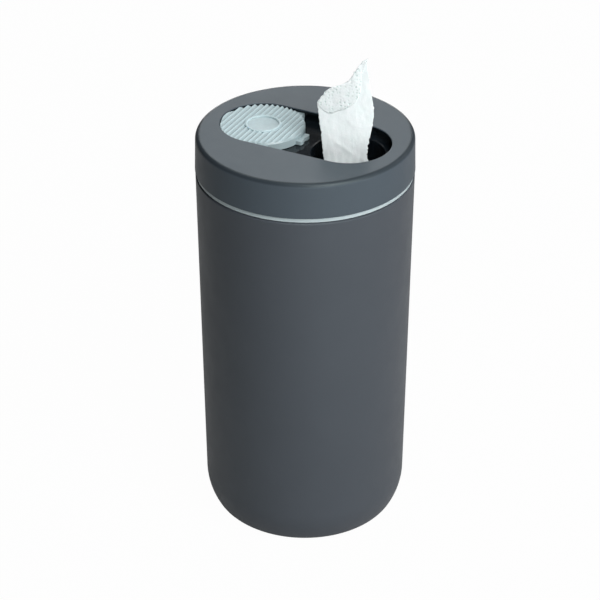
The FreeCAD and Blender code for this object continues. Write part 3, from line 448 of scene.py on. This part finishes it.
# The standing tissue, in millimetres on an upright plane through the outlet's middle: places
# along the plane, and heights above OUTLET, from the gripper up to the tip.
TISSUE_ACROSS = Vector((0.9015, 0.4328, 0))
TISSUE_FRONT = Vector((0.4328, -0.9015, 0))
LEFT_EDGE = (
    (-6.6, -17.6), (-11.2, -12.8), (-12.1, -8.8), (-13.0, -1.9), (-13.6, 5.3), (-14.6, 12.4),
    (-15.2, 18.4), (-15.6, 21.8), (-13.9, 24.9), (-11.3, 28.6), (-8.2, 31.0), (-3.6, 32.7),
    (0.0, 35.0), (2.9, 39.8), (5.6, 44.4), (9.0, 47.5),
)
RIGHT_EDGE = (
    (6.6, -17.6), (10.9, -11.6), (9.7, -8.2), (9.7, -3.4), (10.3, 1.6), (11.2, 5.8),
    (11.9, 10.0), (12.5, 14.6), (12.5, 18.6), (12.1, 22.4), (11.5, 26.6), (10.8, 30.6),
    (10.1, 34.8), (9.5, 39.4), (8.8, 43.6), (9.3, 47.5),
)
# The corner that is folded over to the front: it hangs from the left edge between the leftmost
# point and the tip, and these are the places that its own free edge reaches.
FOLD_START = 7
FOLDED_EDGE = (
    (-15.4, 21.6), (-12.6, 18.4), (-9.4, 16.7), (-5.0, 18.0), (-0.4, 20.2), (3.4, 23.2),
    (5.6, 28.6), (6.6, 38.6), (9.0, 47.0),
)
FOLD_RADIUS = 0.2
TISSUE_THICKNESS = 0.2 * MM
PANEL_COLUMNS = 76
PANEL_ROWS = 150
CORNER_COLUMNS = 22
CORNER_ROWS = 110
TURN_COLUMNS = 5


def ridge(distance, width):
    """A rounded ridge, 1 at its line and fading away from it."""
    return math.exp(-((distance / width) ** 2))


def tissue_depth(a, h):
    """How far the tissue stands out towards the front, in millimetres."""
    bow = 0.7 * math.cos(a / 15 * math.pi / 2) * (1 - (h + 17.6) / 90)
    lean = 0.04 * a + 0.0013 * (h - 15) ** 2
    gather = 1.2 * math.exp(-(h + 17.6) / 3.2) * math.sin(a * 1.7 + 0.4)
    lower_fold = 0.22 * ridge(h - 2.5 + (a + 8.8) * 0.7, 1.7) * ridge(a + 1.0, 8.0)
    upright_crease = -0.30 * ridge(a - 6.4 - (h - 40) * 0.06, 1.6) * ridge(h - 38.0, 12.0)
    broad = 0.30 * noise.noise(Vector((a * 0.12, h * 0.10, 3.7)))
    fine = 0.09 * noise.noise(Vector((a * 0.42, h * 0.34, 8.1)))
    return bow + lean + gather + lower_fold + upright_crease + broad + fine


def frayed(a, h, share):
    """A place near a cut edge, moved sideways to fray the edge."""
    fray = 0.55 * noise.noise(Vector((h * 0.62, 11.0 + share, 0)))
    fray += 0.30 * noise.noise(Vector((h * 1.5, 5.0 + share, 0)))
    return a + fray * abs(2 * share - 1) ** 12


def tissue_point(a, h, lift=0.0):
    depth = tissue_depth(a, h) + lift
    return OUTLET + (TISSUE_ACROSS * a + TISSUE_FRONT * depth + Vector((0, 0, h))) * MM


def tissue_panel():
    """The sheet itself, from the gripper up to the tip."""
    points = []
    for row in range(PANEL_ROWS):
        rise = row / (PANEL_ROWS - 1)
        left_a, left_h = blend_rows(LEFT_EDGE, rise)
        right_a, right_h = blend_rows(RIGHT_EDGE, rise)
        for column in range(PANEL_COLUMNS):
            share = column / (PANEL_COLUMNS - 1)
            a = left_a + (right_a - left_a) * share
            h = left_h + (right_h - left_h) * share
            points.append(tissue_point(frayed(a, h, share), h))
    return points


def folded_corner():
    """The corner that is turned over to the front, round the upper left edge."""
    points = []
    start = FOLD_START / (len(LEFT_EDGE) - 1)
    for row in range(CORNER_ROWS):
        share = row / (CORNER_ROWS - 1)
        rise = start + (1 - start) * share
        fold_a, fold_h = blend_rows(LEFT_EDGE, rise)
        free_a, free_h = blend_rows(FOLDED_EDGE, share)
        fold_a = frayed(fold_a, fold_h, 0.0)
        reach = math.hypot(free_a - fold_a, free_h - fold_h)
        radius = min(FOLD_RADIUS, reach * 0.25)
        out_a = (fold_a - free_a) / max(reach, 0.01)
        out_h = (fold_h - free_h) / max(reach, 0.01)
        for column in range(TURN_COLUMNS):
            turn = math.pi * column / TURN_COLUMNS
            out = radius * math.sin(turn)
            points.append(tissue_point(
                fold_a + out_a * out, fold_h + out_h * out, radius * (1 - math.cos(turn))
            ))
        for column in range(CORNER_COLUMNS):
            back = column / (CORNER_COLUMNS - 1)
            a = fold_a + (free_a - fold_a) * back
            h = fold_h + (free_h - fold_h) * back
            h += 0.5 * noise.noise(Vector((a * 0.7, 2.0, 0))) * back**6
            points.append(tissue_point(a, h, radius * (2 - 0.7 * back)))
    return points


def make_standing_tissue(panel_material, corner_material):
    """The tissue that stands out of the outlet, with its upper left corner folded over."""
    points = tissue_panel()
    faces = grid_faces(PANEL_COLUMNS, PANEL_ROWS)
    first = len(points)
    panel_faces = len(faces)
    points += folded_corner()
    for face in grid_faces(TURN_COLUMNS + CORNER_COLUMNS, CORNER_ROWS):
        faces.append(tuple(first + corner for corner in face))
    piece = mesh_piece("tissue_standing", points, faces, panel_material)
    piece.data.materials.append(corner_material)
    for face in piece.data.polygons[panel_faces:]:
        face.material_index = 1
    thicken(piece, TISSUE_THICKNESS)
    return piece


def thicken(piece, thickness):
    solid = piece.modifiers.new("thickness", "SOLIDIFY")
    solid.thickness = thickness
    solid.offset = 0


STRAND_PLEATS = 7
STRAND_COLUMNS = 84
STRAND_ROWS = 70
NECK_TOP = gripper_high.z + 1.2 * MM
# level as a share of the climb, share of the way out to the outlet, half length and half
# width of the gathered tissue in millimetres, and depth of its pleats
STRAND_STATIONS = (
    (0.00, 0.00, 5.6, 4.6, 1.5),
    (0.24, 0.01, 5.4, 4.3, 1.4),
    (0.46, 0.05, 5.0, 3.8, 1.3),
    (0.68, 0.28, 4.4, 3.0, 1.1),
    (0.82, 0.66, 4.6, 2.3, 0.9),
    (0.92, 0.93, 5.6, 1.9, 0.6),
    (0.97, 1.00, 6.3, 1.5, 0.4),
    (1.00, 1.00, 6.9, 1.6, 0.4),
)


def make_strand(material):
    """The gathered tissue on its way up from the roll's hollow through the gripper's mouth."""
    points = []
    climb = NECK_TOP - strand_low.z
    for row in range(STRAND_ROWS):
        share = row / (STRAND_ROWS - 1)
        rise, out, half_length, half_width, pleat = blend_rows(STRAND_STATIONS, share)
        centre = Vector((OUTLET_X * out, 0, strand_low.z + climb * rise))
        settled = min(1.0, max(0.0, (out - 0.5) * 2))
        axis_long = Vector((1, 0, 0)).lerp(TISSUE_ACROSS, settled).normalized()
        axis_wide = Vector((-axis_long.y, axis_long.x, 0))
        for column in range(STRAND_COLUMNS):
            turn = 2 * math.pi * column / STRAND_COLUMNS
            twist = turn * STRAND_PLEATS + 1.6 * share
            fold = pleat * math.sin(twist) + 0.3 * noise.noise(
                Vector((math.cos(turn) * 1.5, math.sin(turn) * 1.5, share * 9))
            )
            reach_long = (half_length - pleat + fold) * math.cos(turn)
            reach_wide = (half_width - pleat * 0.5 + fold * 0.5) * math.sin(turn)
            points.append(centre + (axis_long * reach_long + axis_wide * reach_wide) * MM)
    faces = grid_faces(STRAND_COLUMNS, STRAND_ROWS, closed=True)
    piece = mesh_piece("tissue_strand", points, faces, material)
    thicken(piece, TISSUE_THICKNESS * 0.6)
    return piece


ROLL_TURNS = 22
ROLL_STEPS = 4
ROLL_COLUMNS = 144
PLY_DEPTH = 0.9 * MM


def make_roll(material):
    """The roll of tissues: plies that spiral round its hollow middle."""
    outer = (roll_high.x - roll_low.x) / 2
    inner = 12.0 * MM
    bottom, top = roll_low.z, roll_high.z
    pitch = (outer - inner) / ROLL_TURNS
    wall_steps = 40
    profile = []
    for step in range(wall_steps + 1):
        profile.append(("wall", inner, bottom + (top - bottom) * step / wall_steps))
    for step in range(1, ROLL_TURNS * ROLL_STEPS):
        profile.append(("face", inner + pitch * step / ROLL_STEPS, top))
    for step in range(wall_steps + 1):
        profile.append(("wall", outer, top - (top - bottom) * step / wall_steps))
    points = []
    for kind, radius, level in profile:
        for column in range(ROLL_COLUMNS):
            turn = 2 * math.pi * column / ROLL_COLUMNS
            ripple = noise.noise(Vector((math.cos(turn) * 2, math.sin(turn) * 2, level * 30)))
            r = radius
            z = level
            if kind == "face":
                phase = ((radius - inner) / pitch + column / ROLL_COLUMNS) % 1.0
                z -= PLY_DEPTH * (0.35 + 0.65 * abs(2 * phase - 1)) + 0.0004 * ripple
            else:
                edge = max(0.0, (level - (top - 3 * MM)) / (3 * MM))
                sign = 1 if radius > inner else -1
                r -= sign * (0.35 * MM * (1 + ripple) + 1.2 * MM * edge**2)
                z -= 0.6 * MM * edge
            points.append(Vector((r * math.cos(turn), r * math.sin(turn), z)))
    faces = grid_faces(ROLL_COLUMNS, len(profile), closed=True)
    last = (len(profile) - 1) * ROLL_COLUMNS
    for column in range(ROLL_COLUMNS):
        following = (column + 1) % ROLL_COLUMNS
        faces.append((last + column, last + following, following, column))
    return mesh_piece("tissue_roll", points, faces, material)


def make_tissues():
    standing = make_standing_tissue(
        nonwoven("tissue_nonwoven", emboss=0.0), nonwoven("tissue_embossed", emboss=1.0)
    )
    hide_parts("wipe_sheet")
    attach(standing, "lid")
    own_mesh(standing)

    strand = make_strand(nonwoven("strand_nonwoven", emboss=0.4))
    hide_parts("wipe_tail")
    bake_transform(strand)

    roll = make_roll(nonwoven("roll_nonwoven", emboss=0.0))
    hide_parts("wipes_roll")
    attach(roll, "liner")


# Stage and light

def add_floor():
    """A pale floor that shows as white, with the object's own soft shadow on it."""
    half = 4.0
    corners = [(-half, -half, 0), (half, -half, 0), (half, half, 0), (-half, half, 0)]
    shader = Shader("floor_pale", Roughness=0.9, Specular_IOR_Level=0.1)
    speckle = shader.spread(shader.noise(0.003, 3.0), 0, 1)
    shader.colour(colour_mix(shader, speckle, FLOOR_PALE, tinted(FLOOR_PALE, 1.02)))
    white = shader.node("ShaderNodeEmission", {"Color": (1, 1, 1, 1), "Strength": 1.0})
    rays = shader.node("ShaderNodeLightPath")
    seen = shader.math(
        "MAXIMUM", rays.outputs["Is Camera Ray"], rays.outputs["Is Transmission Ray"]
    )
    mirrored = shader.math("MULTIPLY", rays.outputs["Is Glossy Ray"], FLOOR_MIRRORED)
    share = shader.math(
        "MAXIMUM", shader.math("MULTIPLY", seen, FLOOR_SEEN), mirrored
    )
    blend = shader.node(
        "ShaderNodeMixShader",
        {0: share, 1: shader.surface.outputs["BSDF"], 2: white.outputs["Emission"]},
    )
    shader.tree.links.new(blend.outputs["Shader"], shader.output.inputs["Surface"])
    floor = mesh_piece("floor", corners, [(0, 1, 2, 3)], shader.material)


FLOOR_PALE = (0.42, 0.42, 0.42)
FLOOR_SEEN = 0.98
FLOOR_MIRRORED = 0.15


def add_world():
    """A faint even light from all round, which shows as white above the floor's far edge."""
    world = bpy.data.worlds.new("studio")
    world.use_nodes = True
    bpy.context.scene.world = world
    tree = world.node_tree
    rays = tree.nodes.new("ShaderNodeLightPath").outputs
    seen = tree.nodes.new("ShaderNodeMath")
    seen.operation = "MAXIMUM"
    tree.links.new(rays["Is Camera Ray"], seen.inputs[0])
    tree.links.new(rays["Is Transmission Ray"], seen.inputs[1])
    strength = tree.nodes.new("ShaderNodeMapRange")
    strength.inputs["To Min"].default_value = WORLD_STRENGTH
    strength.inputs["To Max"].default_value = 1.0
    tree.links.new(seen.outputs[0], strength.inputs["Value"])
    background = tree.nodes["Background"]
    background.inputs["Color"].default_value = (1, 1, 1, 1)
    tree.links.new(strength.outputs["Result"], background.inputs["Strength"])


WORLD_STRENGTH = 0.06
LAMP_AIM = Vector((0, 0, 0.13))
LAMP_DISTANCE = 1.4
# name, degrees round from +X, degrees up, size in metres, power in watts
LAMPS = (
    ("key", -28, 42, 0.8, 18.5),
    ("top", -45, 74, 0.7, 3.5),
    ("right", -3, 4, 0.6, 2.8),
    ("front_low", -45, 4, 0.6, 4.4),
    ("back", 117, 49, 0.6, 3.5),
    ("back_low", 117, 4, 0.6, 6.5),
    ("back_right", 57, 30, 0.6, 1.6),
)


def add_lamps():
    for name, azimuth, rise, size, power in LAMPS:
        data = bpy.data.lights.new(name, "AREA")
        data.shape = "SQUARE"
        data.size = size
        data.energy = power
        lamp = bpy.data.objects.new(name, data)
        bpy.context.scene.collection.objects.link(lamp)
        flat = math.cos(math.radians(rise))
        way = Vector((
            flat * math.cos(math.radians(azimuth)),
            flat * math.sin(math.radians(azimuth)),
            math.sin(math.radians(rise)),
        ))
        lamp.location = LAMP_AIM + way * LAMP_DISTANCE
        lamp.rotation_mode = "QUATERNION"
        lamp.rotation_quaternion = (-way).to_track_quat("-Z", "Y")


add_camera()
add_floor()
add_world()
add_lamps()
dress_solids()
make_tissues()

bpy.context.scene.view_settings.view_transform = "Standard"
